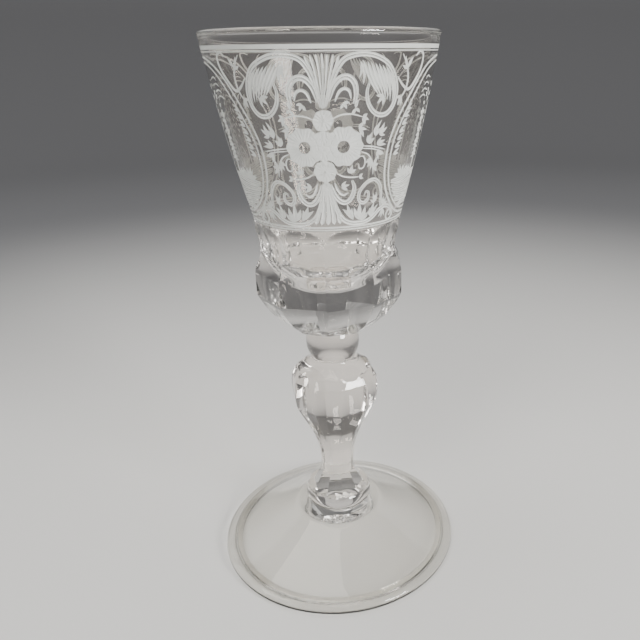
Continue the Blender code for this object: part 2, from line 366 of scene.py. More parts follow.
def make_collar():
    low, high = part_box("foot_collar")
    base_z = (low.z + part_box("foot")[1].z) / 2 + SEAM_GAP
    top_z = (high.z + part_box("baluster")[0].z) / 2 - SEAM_GAP
    flare_z = low.z + COLLAR_FLARE
    cone_r = COLLAR_CONE * ARRIS
    rings = [(0.0, top_z), (STEM_WAIST * ARRIS, top_z)]
    rings += [(mix(STEM_WAIST, COLLAR_CONE, i / 12) * ARRIS, mix(top_z, flare_z, i / 12))
              for i in range(1, 12)]
    edge_z = low.z + COLLAR_EDGE
    rings += arc(cone_r, edge_z, COLLAR_LIP - cone_r, flare_z - edge_z, 90, 0, 20)
    rings += arc(SEAT_RADIUS, edge_z, COLLAR_LIP - SEAT_RADIUS, edge_z - base_z, -15, -90, 6)
    rings.append((0.0, base_z))

    def ground_flat(radius, height, angle):
        flat = mix(COLLAR_CONE, STEM_WAIST, (height - flare_z) / (top_z - flare_z))
        if height < flare_z:
            flat = COLLAR_CONE + (flare_z - height) * COLLAR_RUN_OUT
        return min(radius, flat / math.cos(panel_angle(angle, STEM_TURN)))

    form = turned_mesh(rings, ROUND, ground_flat, lambda radius, height: STEM_TURN)
    mark_seams(form, [base_z], SEAT_RADIUS, 1)
    mark_seams(form, [top_z], STEM_WAIST * ARRIS, 1)
    glass_piece("collar_glass_cut", form, [stem_glass, seam], "foot_collar", 12.0)


make_collar()

# ---- Baluster --------------------------------------------------------------------
# A solid gather shaped into an inverted baluster, slim below and full at the shoulder,
# then cut in ten long, slightly hollow panels that run out under the neck.
BELLY = 14.2 * MM
NECK = 7.3 * MM
SHOULDER = 11.7 * MM
LOWER_SKEW = 1.5
PANEL_HOLLOW = 0.15 * MM
FACET_BREAKS = (7.2, 17.5, 27.4, 36.8, 41.4)    # mm up the baluster, where a row of facets ends
FACET_CRISP = 0.5               # 1 is a dead flat facet, 0 is none
NECK_RUN_OUT = 4.5 * MM         # the panels die away over this height under the neck
NECK_RISE_OUT = 2.4 * MM        # how far the wheel has drawn back at the neck
BLANK_SHARE = 0.998             # the round blank just clears the arrises


def make_baluster():
    low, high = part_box("baluster")
    base_z = (low.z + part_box("foot_collar")[1].z) / 2 + SEAM_GAP
    top_z = (high.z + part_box("upper_knop")[0].z) / 2 - SEAM_GAP
    belly_z = high.z - SHOULDER
    rise = SHOULDER / math.sqrt(1 - (NECK / BELLY) ** 2)
    rings = [(0.0, top_z), (NECK, top_z)]
    neck_angle = math.degrees(math.acos(NECK / BELLY))
    rings += arc(0.0, belly_z, BELLY, rise, neck_angle - 1, 0, 26)
    for i in range(1, 71):
        share = 1 - i / 70
        eased = share ** LOWER_SKEW
        swell = eased * eased * (3 - 2 * eased)
        rings.append((mix(STEM_WAIST, BELLY, swell), mix(base_z, belly_z, share)))
    rings.append((0.0, base_z))
    heights = [z for _, z in rings[1:-1]][::-1]
    radii = [r for r, _ in rings[1:-1]][::-1]
    breaks = [base_z] + [low.z + rise_mm * MM for rise_mm in FACET_BREAKS] + [high.z]
    corners = [float(np.interp(z, heights, radii)) for z in breaks]

    def ground_hollow(radius, height, angle):
        flat = mix(radius, float(np.interp(height, breaks, corners)), FACET_CRISP)
        run_out = max(0.0, (height - (high.z - NECK_RUN_OUT)) / NECK_RUN_OUT)
        round_blank = mix(radius * ARRIS * BLANK_SHARE, NECK, min(run_out, 1.0))
        turn = panel_angle(angle, STEM_TURN) / (math.pi / PANELS)
        hollow = PANEL_HOLLOW * (1 - turn ** 2) * min(radius / BELLY, 1.0)
        wheel = flat + run_out * NECK_RISE_OUT - hollow * (1 - min(run_out, 1.0))
        return min(round_blank, wheel / math.cos(turn * math.pi / PANELS))

    form = turned_mesh(rings, ROUND, ground_hollow, lambda radius, height: STEM_TURN)
    mark_seams(form, [base_z], STEM_WAIST * ARRIS, 1)
    mark_seams(form, [top_z], NECK, 1)
    glass_piece("baluster_glass_cut", form, [stem_glass, seam], "baluster", 12.0)


make_baluster()

# ---- Knop ------------------------------------------------------------------------
# A small solid ball of the same glass, pressed between the baluster and the bowl while
# both were hot.  It was left round and smooth, with no cutting.
KNOP_SWELL = 1.3 * MM           # how far it stands out beyond the neck
KNOP_BELLY_DROP = 4.4 * MM      # from its top to its widest ring
KNOP_TOP = 7.5 * MM             # radius of the circle fused to the bowl


def make_knop():
    low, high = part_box("upper_knop")
    base_z = (low.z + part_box("baluster")[1].z) / 2 + SEAM_GAP
    top_z = (high.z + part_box("bowl")[0].z) / 2 - SEAM_GAP
    radius = NECK + KNOP_SWELL
    belly_z = high.z - KNOP_BELLY_DROP
    rise = (belly_z - low.z) / math.sqrt(1 - (NECK / radius) ** 2)
    top_angle = math.degrees(math.asin((top_z - belly_z) / rise))
    low_angle = math.degrees(math.acos(NECK / radius))
    rings = [(0.0, top_z), (KNOP_TOP, top_z)]
    rings += arc(0.0, belly_z, radius, rise, top_angle - 2, -low_angle, 30)
    rings += [(NECK, base_z), (0.0, base_z)]
    form = turned_mesh(rings, ROUND)
    mark_seams(form, [base_z], NECK, 1)
    mark_seams(form, [top_z], KNOP_TOP, 1)
    glass_piece("knop_glass_round", form, [stem_glass, seam], "upper_knop")


make_knop()

# ---- Bowl ------------------------------------------------------------------------
# Blown and shaped by hand, with a solid round bottom.  Ten hollow panels were ground
# under the waist and more rows of small facets round the bottom; the cone above was
# left smooth and then engraved all round with copper wheels.
BOWL_TURN = math.radians(14.5)
BORDER_RISE = 36.4 * MM         # from the seat to the lower engraved border
FLUTE_RISE = 27.3 * MM          # to the waist
BULB_TOP_RISE = 20.5 * MM       # to the top of the upright panels
BULB_LOW_RISE = 13.5 * MM       # to their lower edge
BORDER_RADIUS = 21.8 * MM
RIM_RADIUS = 32.7 * MM
SWELL = 0.7 * MM                # how far the cone stands outside a straight one
RIM_WALL = 1.9 * MM
LOW_WALL = 2.4 * MM
FLUTE_RADIUS = 19.8 * MM
BULB_RADIUS = 21.9 * MM
SEAT_FLAT = 7.8 * MM
FACET_ROWS = ((0.24, 0.11), (0.55, 0.31), (0.85, 0.61))  # share of the height, of the radius lost
FLOOR_RISE = 14.5 * MM          # solid glass under the wine
WAIST_WALL = 2.3 * MM
RIM_BEAD = 0.3 * MM             # the lip thickens a little where it was melted round
BEAD_HEIGHT = 2.2 * MM          # over this height under it
BAND_TOP = 3.1 * MM             # clear glass between the engraving and the rim
BLANK_MARGIN = 0.12 * MM        # the uncut blank stands this far outside the border

bowl_glass = clear_glass("bowl_glass", tint=(0.982, 0.958, 0.932), cord_tint=(0.958, 0.92, 0.876),
                         ripple_scale=45.0, ripple_depth=0.2 * MM, rubbing=0.3)
bowl_low, bowl_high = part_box("bowl")
seat_z = (bowl_low.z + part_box("upper_knop")[1].z) / 2 + SEAM_GAP
rim_z = bowl_high.z
border_z = bowl_low.z + BORDER_RISE
waist_z = bowl_low.z + FLUTE_RISE
bulb_z = bowl_low.z + BULB_TOP_RISE


def cone_radius(height):
    share = (height - border_z) / (rim_z - border_z)
    return mix(BORDER_RADIUS, RIM_RADIUS, share) + 4 * SWELL * share * (1 - share)


def engraved_finish():
    """Wheel-cut glass left matt: greyish white, with the grain and drag of the wheel."""
    material = bpy.data.materials.new("engraved_matt")
    material.use_nodes = True
    nodes = material.node_tree.nodes
    shader = nodes["Principled BSDF"]
    shader.inputs["IOR"].default_value = 1.5
    shader.inputs["Transmission Weight"].default_value = 0.3
    place = nodes.new("ShaderNodeTexCoord")
    grain = add_node(nodes, "ShaderNodeTexNoise", {"Scale": 2600.0, "Detail": 3.0})
    wire(place, "Object", grain, "Vector")
    patches = add_node(nodes, "ShaderNodeTexNoise", {"Scale": 260.0, "Detail": 2.0})
    wire(place, "Object", patches, "Vector")
    shade = nodes.new("ShaderNodeMix")
    shade.data_type = "RGBA"
    shade.inputs[6].default_value = (0.70, 0.72, 0.69, 1.0)
    shade.inputs[7].default_value = (0.88, 0.89, 0.86, 1.0)
    wire(patches, "Fac", shade, 0)
    wire(shade, 2, shader, "Base Color")
    rough = add_node(nodes, "ShaderNodeMapRange", {"To Min": 0.42, "To Max": 0.68})
    wire(grain, "Fac", rough, "Value")
    wire(rough, "Result", shader, "Roughness")
    bump = add_node(nodes, "ShaderNodeBump", {"Strength": 0.6, "Distance": 0.05 * MM})
    wire(grain, "Fac", bump, "Height")
    wire(bump, "Normal", shader, "Normal")
    return material


engraved_matt = engraved_finish()

# The engraver's drawing.  A point is (degrees from the middle of the front panel,
# height in mm); every cut is two strips that slope down to its middle line.
DRAWN_FLOOR = 118.4             # drawn height of the border under the cone
DRAWN_SCALE = 0.4712            # mm per degree at the middle of the cone
HAIR_GAP = 0.11                 # mm of clear glass between two strands
DEEPEST = 0.2                   # mm, as deep as the wheel goes
hand = random.Random(7)
cut_points = []
cut_depths = []
cut_faces = []
polished_eyes = []              # (degrees, height, radius) of each hollow polished bright again


def cone_mm(height):
    return cone_radius(border_z + (height - DRAWN_FLOOR) * MM) / MM


def degree_mm(height):
    return cone_mm(height) * math.pi / 180


def tapered(start, end, reach=0.35):
    def profile(t):
        first = min(t / reach, 1.0)
        last = min((1 - t) / reach, 1.0)
        return mix(start, 1.0, first * (2 - first)) * mix(end, 1.0, last * (2 - last))
    return profile


def leaf_shape(t):
    return max(math.sin(math.pi * t ** 0.8), 0.04)


def rib_shape(t):
    if t < 0.9:
        return mix(0.22, 1.0, t / 0.9)
    return max(math.sqrt(max(1 - ((t - 0.9) / 0.1) ** 2, 0.0)), 0.1)


def add_point(u, z, depth):
    cut_points.append((u, z))
    cut_depths.append(depth)
    return len(cut_points) - 1


def add_face(corners):
    """Keep a face only if it has some area, always turned the same way."""
    area = 0.0
    for a, b in zip(corners, corners[1:] + corners[:1]):
        area += cut_points[a][0] * cut_points[b][1] - cut_points[b][0] * cut_points[a][1]
    if abs(area) > 1e-5:
        cut_faces.append(corners if area > 0 else corners[::-1])


def cut(path, width, profile=tapered(0.35, 0.35), step=0.62, depth=0.28, shake=0.1, strands=1):
    """A cut of the wheel along a smooth path; strands side by side leave a hair of clear glass."""
    knots = [(u + hand.uniform(-shake, shake), z + hand.uniform(-shake, shake) * 0.5) for u, z in path]
    line = curve_through(knots, 12)
    lengths = [0.0]
    for a, b in zip(line, line[1:]):
        lengths.append(lengths[-1] + math.hypot((b[0] - a[0]) * degree_mm(a[1]), b[1] - a[1]))
    total = lengths[-1]
    count = max(4, round(total / step))
    marks = [total * i / count for i in range(count + 1)]
    us = np.interp(marks, lengths, [p[0] for p in line])
    zs = np.interp(marks, lengths, [p[1] for p in line])
    before = None
    for i in range(count + 1):
        a, b = max(i - 1, 0), min(i + 1, count)
        scale = degree_mm(zs[i])
        along = np.array([(us[b] - us[a]) * scale, zs[b] - zs[a]])
        along /= max(np.linalg.norm(along), 1e-9)
        reach = width * profile(i / count)
        row = []
        for strand in range(strands):
            near = reach * strand / strands + (HAIR_GAP / 2 if strand else 0.0)
            far = reach * (strand + 1) / strands - (HAIR_GAP / 2 if strand < strands - 1 else 0.0)
            far = max(far, near + 0.02)
            deep = min((far - near) * depth, DEEPEST)
            for offset, sunk in ((near, 0.0), ((near + far) / 2, deep), (far, 0.0)):
                side_step = reach / 2 - offset
                u = us[i] - along[1] * side_step / scale
                row.append(add_point(u, zs[i] + along[0] * side_step, sunk))
        if before:
            for first in range(0, 3 * strands, 3):
                for k in (first, first + 1):
                    add_face([before[k], before[k + 1], row[k + 1], row[k]])
        before = row


def leaf(base, tip, width, bend=0.0, profile=leaf_shape):
    """A leaf or petal from base to tip, bowed to one side by a share of its length."""
    scale = degree_mm(base[1])
    across = ((base[1] - tip[1]) * bend / scale, (tip[0] - base[0]) * scale * bend)
    middle = ((base[0] + tip[0]) / 2 + across[0], (base[1] + tip[1]) / 2 + across[1])
    cut([base, middle, tip], width, profile, step=0.5)


def spray(base, tips, width, bend=0.0, profile=leaf_shape):
    for tip in tips:
        leaf(base, tip, width, bend, profile)


def round_spot(u, z, radius, spokes, eye=0.0, lobes=0):
    """A round flower ground with radial cuts, scalloped at the edge, its eye polished."""
    scale = degree_mm(z)
    rings = [(max(eye, 0.12), 0.03), (mix(eye, radius, 0.5), 0.1), (radius * 0.93, 0.03)]
    rows = []
    for reach, rest in rings:
        row = []
        for i in range(spokes):
            angle = math.tau * i / spokes
            wave = 1 + (0.05 * math.cos(angle * lobes) if lobes and reach > radius * 0.9 else 0.0)
            deep = rest + (0.07 if i % 2 else 0.0)
            row.append(add_point(u + reach * wave * math.cos(angle) / scale,
                                 z + reach * wave * math.sin(angle), deep))
        rows.append(row)
    for inner, outer in zip(rows, rows[1:]):
        for i in range(spokes):
            j = (i + 1) % spokes
            add_face([inner[i], inner[j], outer[j], outer[i]])
    if eye:
        polished_eyes.append((u, z, eye))
        for share in (0.33, 0.66):
            for i in range(spokes // 2):
                angle = math.tau * i / (spokes // 2)
                add_point(u + eye * share * math.cos(angle) / scale,
                          z + eye * share * math.sin(angle), 0.0)
        add_point(u, z, 0.0)
    else:
        add_face(rows[0])


def ground(upper, lower, texture):
    """A matt area between two lines, dulled with short crossing strokes."""
    top = curve_through(upper, 5)
    low = curve_through(lower, 5)
    before = None
    for a, b in zip(top, low):
        row = [add_point(mix(a[0], b[0], t), mix(a[1], b[1], t), hand.uniform(0.0, texture))
               for t in (0.0, 0.25, 0.5, 0.75, 1.0)]
        if before:
            for i in range(4):
                add_face([before[i], before[i + 1], row[i + 1], row[i]])
        before = row


def scroll_panel(side):
    """Half of the strapwork and flower panel.  side turns its scrolls and flowers over for
    the back one; the leaves (spray and leaf) don't go through it and always lie in front."""
    def at(points):
        return [side(p) for p in points]

    def stroke(points, width, *rest, **more):
        cut(at(points), width, *rest, **more)

    # plume of ribs over the flowers, and the long scroll that rises beside it
    for lean in (0, 1, 2, 3):
        stroke([(lean * 0.25, 150.6), (lean * 0.9, 154.5), (lean * 1.6, 159),
                (lean * 2.4, 162.9 - lean * 0.15)], 0.62, rib_shape)
    stroke([(1.2, 150.8), (3, 154.8), (5.5, 158.8), (9, 161.4), (14, 162.5), (20, 162.6), (26, 161.8),
            (31.5, 160), (35, 157.2), (36.4, 154), (35.4, 151), (32.5, 149.2), (28.5, 148.8), (24.5, 149.7),
            (21.6, 151.8), (20.6, 154.4), (21.6, 156.6)], 1.2, tapered(0.35, 0.45, 0.2), strands=2)
    stroke([(2.6, 152.0), (4.6, 155.4), (8, 157.4), (11.5, 157.5), (14.4, 156), (15.4, 153.6),
            (14.9, 151.4)], 1.4, tapered(0.3, 0.5), strands=2)
    stroke([(5.6, 152.0), (7.2, 154.1), (9.6, 155.0), (12.0, 154.4), (13.2, 152.6)], 0.75, tapered(0.3, 0.3))
    # broad leaf lying in the curl of the scroll
    for i in range(7):
        t = i / 6
        stroke([(mix(17.5, 29.5, t), mix(161.3, 159.9, t)), (mix(20.5, 32.5, t), mix(158.2, 157.6, t)),
                (mix(24, 34.6, t), mix(155.4, 154.2, t)), (mix(27.0, 34.4, t), mix(153.2, 151.6, t))],
               0.95, leaf_shape)
    spray((16.6, 161.0), [(16.2, 157.4), (18.4, 156.0)], 0.8, 0.12)
    spray((29.0, 153.5), [(25.4, 153.4), (26.2, 151.6), (29.2, 151.0)], 0.8, 0.1)
    spray((9.5, 151.6), [(8.0, 150.2), (11.2, 150.2), (12.6, 151.6)], 0.75, 0.1)
    spray((15.6, 150.4), [(13.4, 148.8), (17.6, 149.4), (16.8, 152.4)], 0.75, 0.1)
    # four flowers, the two large ones with polished eyes
    x, z = side((10.3, 141.2))
    round_spot(x, z, 5.2, 60, eye=1.5, lobes=10)
    middle = float(side((0, 0))[0])
    round_spot(middle, 147.7, 2.75, 28, lobes=7)
    round_spot(middle, 135.0, 3.05, 28, lobes=8)
    ground(at([(-1, 145.6), (3.5, 144.8), (6.5, 144.2)]),
           at([(-1, 137.4), (3.5, 138.2), (6.5, 138.8)]), 0.1)
    # sprigs beside the flowers
    stroke([(4.5, 148.0), (8.5, 148.8), (14, 149.0), (19.5, 148.3)], 0.42)
    spray((19.5, 148.3), [(21.6, 149.2), (22.6, 147.6), (20.8, 146.4)], 0.8)
    spray((17.8, 145.4), [(20.6, 147.2), (21.8, 145.2), (20.4, 143.4)], 0.85, 0.08)
    stroke([(20, 141.2), (27, 140.9), (34.2, 140.2)], 0.4)
    stroke([(20, 140.5), (27, 140.3), (33.5, 139.4)], 0.32)
    spray((24.0, 141.6), [(22.8, 143.8), (25.0, 144.6), (26.8, 143.2)], 0.85, 0.1)
    spray((26.8, 143.6), [(27.2, 146.4), (29.6, 147.6), (30.6, 145.8)], 0.8, 0.08)
    spray((29.0, 144.4), [(31.6, 147.0), (33.4, 145.8), (32.8, 143.8)], 0.85, -0.08)
    spray((28.6, 141.3), [(30.8, 143.2), (33.2, 142.6), (34.6, 141.4)], 0.8, 0.06)
    spray((29.4, 140.2), [(32.4, 138.6), (34.4, 138.8), (31.0, 137.4)], 0.8, -0.06)
    stroke([(19.6, 139.8), (24, 138.8), (27.4, 136.4), (28.6, 133.6)], 0.42)
    spray((25.2, 138.0), [(24.0, 135.6), (26.2, 134.8), (22.6, 136.8)], 0.8, 0.1)
    spray((28.2, 136.0), [(31.4, 136.4), (30.8, 134.4), (29.8, 138.4)], 0.85)
    stroke([(18.6, 138.4), (21, 138.6), (22.4, 137.2), (21.6, 135.7), (19.4, 135.6), (18.6, 136.8)], 0.45)
    stroke([(6.0, 134.6), (10, 133.7), (15, 133.4), (19.5, 133.4)], 0.45)
    spray((14.5, 134.4), [(12.4, 136.0), (15.4, 136.6), (17.4, 135.4)], 0.8, 0.08)
    spray((19.5, 133.4), [(21.8, 134.2), (22.4, 132.8)], 0.75)
    # plume of ribs under the flowers
    for lean in (0, 1, 2):
        stroke([(lean * 0.5, 132.2), (lean * 1.5, 128.6), (lean * 2.9, 124.6),
                (lean * 4.2, 120.5 + lean * 0.08)], 1.35 - lean * 0.1, rib_shape)
    stroke([(1.4, 131.8), (3.2, 127.6), (6.4, 124.0), (10.5, 121.8), (16, 120.8), (22, 120.6), (28, 120.9),
            (33, 122.0), (37.5, 123.7), (42.5, 124.4), (47.5, 123.7), (51.4, 122.2), (52.3, 120.8)],
           1.25, tapered(0.4, 0.45, 0.2), strands=2)
    stroke([(52.6, 121.4), (50.4, 120.1), (47.2, 120.1), (45.4, 121.4), (46.6, 122.8), (49.2, 122.8),
            (50.0, 121.7), (48.4, 121.2)], 0.6, tapered(0.7, 0.4, 0.2), step=0.4)
    stroke([(2.4, 131.6), (4.6, 128.8), (8, 126.9), (12, 126.5), (15.6, 127.9), (17, 130.5), (15.2, 132.6)],
           1.4, tapered(0.35, 0.4), strands=2)
    stroke([(5.0, 131.9), (7.0, 129.7), (10, 128.6), (13.0, 129.2)], 0.7)
    spray((9.0, 130.6), [(11.6, 132.4), (13.6, 131.4), (12.6, 129.9)], 0.8, 0.08)
    stroke([(38, 124.6), (37.4, 127.8), (35, 130.7), (31, 132.2), (26.4, 132.0), (22.4, 130.6),
            (20.4, 128.6), (21.4, 126.8), (24.4, 126.2), (27.4, 127.3), (27.2, 129.0), (25.2, 129.2),
            (24.2, 128.2)],
           1.0, tapered(0.6, 0.35, 0.25), step=0.5, strands=2)
    # acanthus leaf over the long bottom scroll
    for tip, bow in (((9.6, 124.6), -0.05), ((12.6, 125.9), 0.05), ((16.2, 124.8), 0.1)):
        leaf((17.5, 121.6), tip, 1.1, bow)
    for tip, bow in (((17.6, 125.0), 0.05), ((21.6, 126.5), 0.0),
                     ((26.0, 125.3), -0.1), ((28.8, 123.6), -0.1)):
        leaf((22.0, 121.4), tip, 1.25, bow)
    for tip in ((29.6, 124.6), (32.6, 126.0), (35.6, 125.2)):
        leaf((31.0, 122.0), tip, 1.05, 0.05)
    spray((33.6, 126.2), [(29.6, 126.6), (31.2, 128.4), (33.8, 128.6)], 0.85, 0.08)
    spray((40.0, 124.6), [(40.0, 127.2), (42.4, 126.8), (44.6, 125.6)], 0.8, 0.06)
    spray((40.5, 123.6), [(40.0, 121.0), (37.6, 121.4), (43.0, 121.4)], 0.75, 0.06)
    # double frame of the medallion, with its strap and corner scroll
    stroke([(90, 162.6), (78, 162.3), (68, 161.6), (59, 160.0), (52, 156.9), (45.5, 152.4), (40, 147.6),
            (36.8, 142.4), (36.6, 136.4), (38.8, 131.2), (43.6, 126.8), (51, 123.4), (60, 121.5),
            (72, 120.7), (90, 120.5)], 0.62, tapered(1.0, 1.0), step=0.8)
    stroke([(90, 161.2), (79, 160.9), (70, 160.3), (62, 158.8), (55.4, 156.2), (48.6, 151.6), (43.4, 147.0),
            (40.0, 142.2), (39.6, 136.6), (41.6, 131.8), (46.2, 127.6), (53, 124.5), (61, 122.8),
            (72, 122.0), (90, 121.8)], 0.5, tapered(1.0, 1.0), step=0.8)
    stroke([(36.4, 157.6), (40, 155.6), (44.5, 154.6), (49, 156.6), (53, 159.6), (53.6, 162.4),
            (50.5, 163.2), (47.6, 162.2)], 0.8, tapered(0.4, 0.4))
    stroke([(38.5, 162.6), (41.6, 160.4), (43.4, 157.4), (42.4, 154.4), (39.0, 152.0)], 0.6)
    spray((42.6, 159.6), [(39.0, 160.2), (40.4, 162.2), (45.6, 162.0)], 0.85, 0.06)
    spray((39.6, 153.0), [(38.0, 150.8), (40.4, 150.4), (36.8, 152.6)], 0.75, 0.06)
    for i in range(7):
        t = i / 6
        base = (mix(41.6, 46.0, t ** 1.5), mix(138.5, 149.6, t))
        spray(base, [(base[0] + 4.2, base[1] + 1.5), (base[0] + 4.4, base[1] + 0.2)], 0.72, 0.06)


scroll_panel(lambda p: (p[0], p[1]))
scroll_panel(lambda p: (180 - p[0], p[1]))


def fir(u, foot, top, spread):
    """A pointed tree with drooping boughs; u and spread in degrees, heights in mm."""
    cut([(u, foot), (u - 0.4, mix(foot, top, 0.5)), (u + 0.3, top)], 0.75, tapered(1.0, 0.4))
    for i in range(12):
        t = i / 11
        height = mix(mix(foot, top, 0.3), top, t)
        reach = spread * (1 - 0.62 * t) * hand.uniform(0.75, 1.05)
        for way in (-1, 1):
            tip = (u + way * reach, height - hand.uniform(0.2, 1.0))
            leaf((u, height + 0.5), tip, 0.85, way * -0.14)


def broad_tree(u, foot, top, spread):
    """A trunk with a round head of leaves; spread is how much wider the head is than high."""
    cut([(u - 0.6, foot), (u - 0.2, mix(foot, top, 0.4)), (u + 0.4, mix(foot, top, 0.8))],
        0.95, tapered(1.0, 0.5))
    middle = mix(foot, top, 0.66)
    for ring, count in ((0.34, 7), (0.68, 11), (0.98, 15)):
        for i in range(count):
            angle = math.radians(mix(-32, 212, i / (count - 1)) + hand.uniform(-7, 7))
            reach = ring * (top - middle) * 1.1
            at = (u + reach * math.cos(angle) * spread, middle + reach * math.sin(angle))
            way = 1 if math.cos(angle) > 0 else -1
            leaf((at[0] - way * 1.6, at[1] - 0.5),
                 (at[0] + way * 1.2, at[1] + hand.uniform(0.3, 0.9)), 0.95, way * 0.1)


def bush(u, foot, size):
    """A low fan of leaves, size in mm."""
    for i in range(9):
        angle = math.radians(mix(12, 168, i / 8) + hand.uniform(-6, 6))
        reach = size * hand.uniform(0.75, 1.0)
        tip_u = u + reach * math.cos(angle) / degree_mm(foot)
        leaf((u, foot), (tip_u, foot + reach * math.sin(angle)), 0.8)


# The landscape in the medallion: ploughed hills, trees, bushes, a rise and drifting cloud.
FURROWS = ((123.6, 57, 123), (125.2, 51.5, 128.5), (126.8, 48.5, 131.5),
           (128.4, 46.5, 133.5), (130.0, 45, 135), (131.6, 44, 136))   # height, left, right
for row, (height, left, right) in enumerate(FURROWS):
    cut([(mix(left, right, i / 8), height + 0.45 * math.sin(i * 1.3 + row * 0.9)) for i in range(9)],
        1.72, tapered(0.5, 0.5, 0.08), step=0.8, strands=3)
fir(66, 132, 149, 5.2)
broad_tree(78, 132, 154.5, 1.7)
fir(121, 132, 150.5, 5.0)
broad_tree(108, 132, 151.0, 1.9)
bush(53, 132, 4.2)
bush(60, 132, 3.0)
bush(88, 132, 3.4)
bush(99, 131.6, 4.2)
bush(115, 132, 3.0)
bush(128, 132, 3.6)
cut([(84, 133.4), (89, 136.6), (94, 138.0), (99, 136.4), (103, 133.4)], 0.5)
cut([(86, 133.4), (90, 135.2), (94, 136.2), (98, 135.0), (101, 133.4)], 0.35)
for row in range(5):
    left = hand.uniform(87, 92)
    rise = row * 1.5
    cut([(left, 149.6 + rise), (left + 5, 150.2 + rise), (left + 9 + row, 149.6 + rise)], 0.36)
for row in range(4):
    rise = row * 1.5
    cut([(57 + rise, 152.0 + rise), (61 + row, 152.7 + rise), (66 + row, 152.1 + rise)], 0.34)
    rise = row * 1.2
    cut([(114 + row * 0.5, 154.4 + rise), (119, 155.0 + rise), (123 - row, 154.5 + rise)], 0.34)

BORDER_LINES = ((118.75, 119.15), (119.4, 119.95), (163.25, 163.5), (163.85, 164.85))
BAND_STEP = 2.4                 # mm between the rows of clear glass
EYE_DEPTH = 0.3                 # mm, the hollow of a polished eye


def make_band(form):
    """Mesh the engraved band: half of it is laid out flat, then wrapped and mirrored.
    Gives back the normal of the smooth cone at each of its vertices."""
    top = DRAWN_FLOOR + (rim_z - BAND_TOP - border_z) / MM
    points = [Vector((u * DRAWN_SCALE, z)) for u, z in cut_points]
    edges = []
    rows = [DRAWN_FLOOR] + [z for line in BORDER_LINES for z in line] + [top]
    ruled = set(rows)
    inner_low, inner_high = BORDER_LINES[1][1], BORDER_LINES[2][0]
    count = round((inner_high - inner_low) / BAND_STEP)
    rows += [mix(inner_low, inner_high, i / count) for i in range(1, count)]
    rows.sort()
    columns = ROUND // 2
    width = 180.0 / columns
    grid = []
    for z in rows:
        line = []
        for i in range(columns + 1):
            line.append(len(points))
            points.append(Vector((i * width * DRAWN_SCALE, z)))
        grid.append(line)
        if z in ruled:
            edges += list(zip(line, line[1:]))
    for below, above in zip(grid, grid[1:]):
        edges += [(below[0], above[0]), (below[-1], above[-1])]
    flat, _, tris, orig_verts, _, orig_faces = delaunay_2d_cdt(points, edges, cut_faces, 0, 1e-5)
    known = len(cut_depths)
    depths = []
    for origin in orig_verts:
        own = [cut_depths[i] for i in origin if i < known]
        depths.append(max(own) if own else 0.0)

    def wander(u, z):
        """Slow unevenness of the hand, so that no two halves are quite alike."""
        hold = max(0.0, min((z - inner_low) / 3, (inner_high - z) / 3, 1.0))
        turn = math.radians(u)
        du = 0.45 * math.sin(3 * turn + 0.12 * z) + 0.3 * math.sin(7 * turn + 1.3 - 0.2 * z)
        dz = 0.16 * math.sin(5 * turn + 0.7) + 0.1 * math.sin(11 * turn + 0.25 * z)
        return u + du * hold, z + dz * hold

    placed = {}
    wrapped = {}

    def vertex(index, way):
        point = flat[index]
        u, z = point.x / DRAWN_SCALE, point.y
        if u < 1e-4 or u > 180 - 1e-4:
            u = 0.0 if u < 90 else 180.0
            if (index, 0) in placed:
                return placed[(index, 0)]
            key = (index, 0)
        else:
            key = (index, way)
            if key in placed:
                return placed[key]
        sunk = depths[index]
        eye_slope = None
        for eye_u, eye_z, eye_r in polished_eyes:
            off_u = (u - eye_u) * degree_mm(eye_z)
            reach = math.hypot(off_u, z - eye_z)
            if reach < eye_r:
                sunk = EYE_DEPTH * (1 - (reach / eye_r) ** 2)
                steep = 2 * EYE_DEPTH / eye_r ** 2
                eye_slope = (way * steep * off_u, steep * (z - eye_z))
        u_real, z_real = wander(way * u, z)
        height = border_z + (z_real - DRAWN_FLOOR) * MM
        angle = math.radians(u_real - 90)
        radius = cone_radius(height)
        slope = (cone_radius(height + 0.5 * MM) - cone_radius(height - 0.5 * MM)) / MM
        outward = Vector((math.cos(angle), math.sin(angle), -slope)).normalized()
        on_cone = Vector((radius * math.cos(angle), radius * math.sin(angle), height))
        vert = form.verts.new(on_cone - outward * sunk * MM)
        normal = outward.copy()
        if eye_slope:
            aside = Vector((-math.sin(angle), math.cos(angle), 0.0))
            normal = (outward - aside * eye_slope[0] - Vector((0, 0, 1)) * eye_slope[1]).normalized()
        placed[key] = vert
        wrapped[vert] = normal
        return vert

    for corners, origin in zip(tris, orig_faces):
        u = sum(flat[i].x for i in corners) / 3 / DRAWN_SCALE
        z = sum(flat[i].y for i in corners) / 3
        if u < 0 or u > 180 or z < DRAWN_FLOOR or z > top:
            continue
        ruled_line = any(low < z < high for low, high in BORDER_LINES)
        polished = any(math.hypot((u - eu) * degree_mm(ez), z - ez) < er for eu, ez, er in polished_eyes)
        matt = (bool(origin) or ruled_line) and not polished
        if all(not 1e-4 <= flat[i].x / DRAWN_SCALE <= 180 - 1e-4 for i in corners):
            continue
        for way in (1, -1):
            try:
                face = form.faces.new([vertex(i, way) for i in corners][::way])
            except ValueError:
                continue
            face.material_index = 2 if matt else 0
            face.smooth = True
    return wrapped


